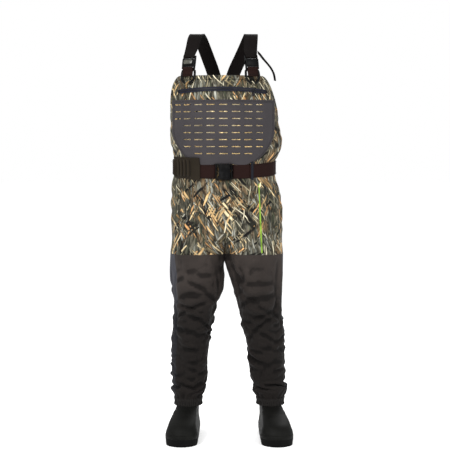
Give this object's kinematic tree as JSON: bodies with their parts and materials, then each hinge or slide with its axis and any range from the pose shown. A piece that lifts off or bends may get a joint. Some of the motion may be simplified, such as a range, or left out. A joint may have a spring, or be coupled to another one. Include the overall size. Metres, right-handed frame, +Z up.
{
  "type": "chest waders",
  "caption": "Chest waders: a fabric bib and legs on welded rubber boots, with buckled shoulder straps, a belt, a chest zip and a slotted webbing panel.",
  "frame": {"origin": "on the floor, below the middle of the whole part's outline", "axes": "+Z up, the chest faces -Y, the wearer's left is +X"},
  "size_m": [0.4698, 0.3837, 1.5061],
  "materials": {
    "print_cloth": "matt printed shell cloth with a reed pattern",
    "plain_cloth": "matt plain shell cloth",
    "binding": "matt woven binding",
    "seam_tape": "satin taped film",
    "lining": "matt lining",
    "laminate": "matt laser-cut laminate",
    "zip_tape": "satin coated tape",
    "zip_plastic": "moulded plastic",
    "strap_webbing": "woven webbing",
    "brown_webbing": "woven webbing",
    "tab_cloth": "matt cloth",
    "elastic": "ribbed elastic",
    "keeper_webbing": "woven webbing",
    "buckle_plastic": "moulded acetal",
    "pouch_cloth": "matt woven cloth",
    "boot_upper": "satin rubber",
    "boot_rubber": "matt rubber",
    "insole_foam": "matt foam"
  },
  "bodies": {
    "garment": {"bib_front_panel": "print_cloth", "bib_back_panel": "print_cloth", "hip_front_panel": "print_cloth", "hip_back_panel": "print_cloth", "right_thigh_panel": "print_cloth", "left_thigh_panel": "print_cloth", "right_knee_panel": "plain_cloth", "left_knee_panel": "plain_cloth", "bib_hem_binding": "binding", "side_seam_tapes": "seam_tape", "chest_pocket_bag": "lining", "molle_panel": "laminate", "chest_zip_tape": "zip_tape", "chest_zip_coil": "zip_plastic", "chest_zip_end_stops": "zip_plastic", "right_front_strap": "strap_webbing", "left_front_strap": "strap_webbing", "right_back_strap": "strap_webbing", "left_back_strap": "strap_webbing", "left_strap_tail": "strap_webbing", "right_lower_webbing": "brown_webbing", "left_lower_webbing": "brown_webbing", "belt_webbing": "brown_webbing", "belt_front_webbing": "brown_webbing", "right_anchor_tab": "tab_cloth", "left_anchor_tab": "tab_cloth", "back_yoke": "tab_cloth", "back_elastic": "elastic", "belt_keepers": "keeper_webbing", "right_strap_ring": "buckle_plastic", "left_strap_ring": "buckle_plastic", "right_shoulder_buckle_plug": "buckle_plastic", "left_shoulder_buckle_plug": "buckle_plastic", "belt_buckle_socket": "buckle_plastic", "shell_pouch": "pouch_cloth", "shell_pouch_loops": "pouch_cloth"},
    "right_shin": {"right_shin_panel": "plain_cloth", "right_ankle_cuff": "binding", "right_boot_upper": "boot_upper", "right_boot_outsole": "boot_rubber", "right_boot_rand": "boot_rubber", "right_boot_insole": "insole_foam"},
    "left_shin": {"left_shin_panel": "plain_cloth", "left_ankle_cuff": "binding", "left_boot_upper": "boot_upper", "left_boot_outsole": "boot_rubber", "left_boot_rand": "boot_rubber", "left_boot_insole": "insole_foam"},
    "belt_plug": {"belt_buckle_plug": "buckle_plastic"},
    "right_shoulder_socket": {"right_shoulder_buckle_socket": "buckle_plastic"},
    "left_shoulder_socket": {"left_shoulder_buckle_socket": "buckle_plastic"},
    "zip_slider": {"chest_zip_slider": "zip_plastic"},
    "zip_pull": {"chest_zip_pull": "zip_plastic"}
  },
  "joints": [
    {"name": "right_knee", "type": "hinge", "parent": "garment", "child": "right_shin", "pos_m": [-0.128, 0.1347, 0.5], "axis": [1, 0, 0], "range_deg": [0, 60]},
    {"name": "left_knee", "type": "hinge", "parent": "garment", "child": "left_shin", "pos_m": [0.114, 0.1347, 0.5], "axis": [1, 0, 0], "range_deg": [0, 60]},
    {"name": "belt_release", "type": "slide", "parent": "garment", "child": "belt_plug", "axis": [1, 0, 0], "range_m": [0, 0.034], "deforming": ["belt_front_webbing"]},
    {"name": "right_shoulder_release", "type": "slide", "parent": "garment", "child": "right_shoulder_socket", "axis": [0.1011, 0.1618, 0.9816], "range_m": [0, 0.022], "deforming": ["right_front_strap"]},
    {"name": "left_shoulder_release", "type": "slide", "parent": "garment", "child": "left_shoulder_socket", "axis": [-0.0956, 0.1651, 0.9816], "range_m": [0, 0.022], "deforming": ["left_front_strap"]},
    {"name": "chest_zip_run", "type": "hinge", "parent": "garment", "child": "zip_slider", "pos_m": [-0.028, 0.12697, 1.26448], "axis": [0, 0.1392, 0.9903], "range_deg": [-72, 12]},
    {"name": "zip_pull_swing", "type": "hinge", "parent": "zip_slider", "child": "zip_pull", "pos_m": [0.09348, -0.07325, 1.29262], "axis": [-0.8055, -0.4317, 0.406], "range_deg": [0, 110]}
  ]
}
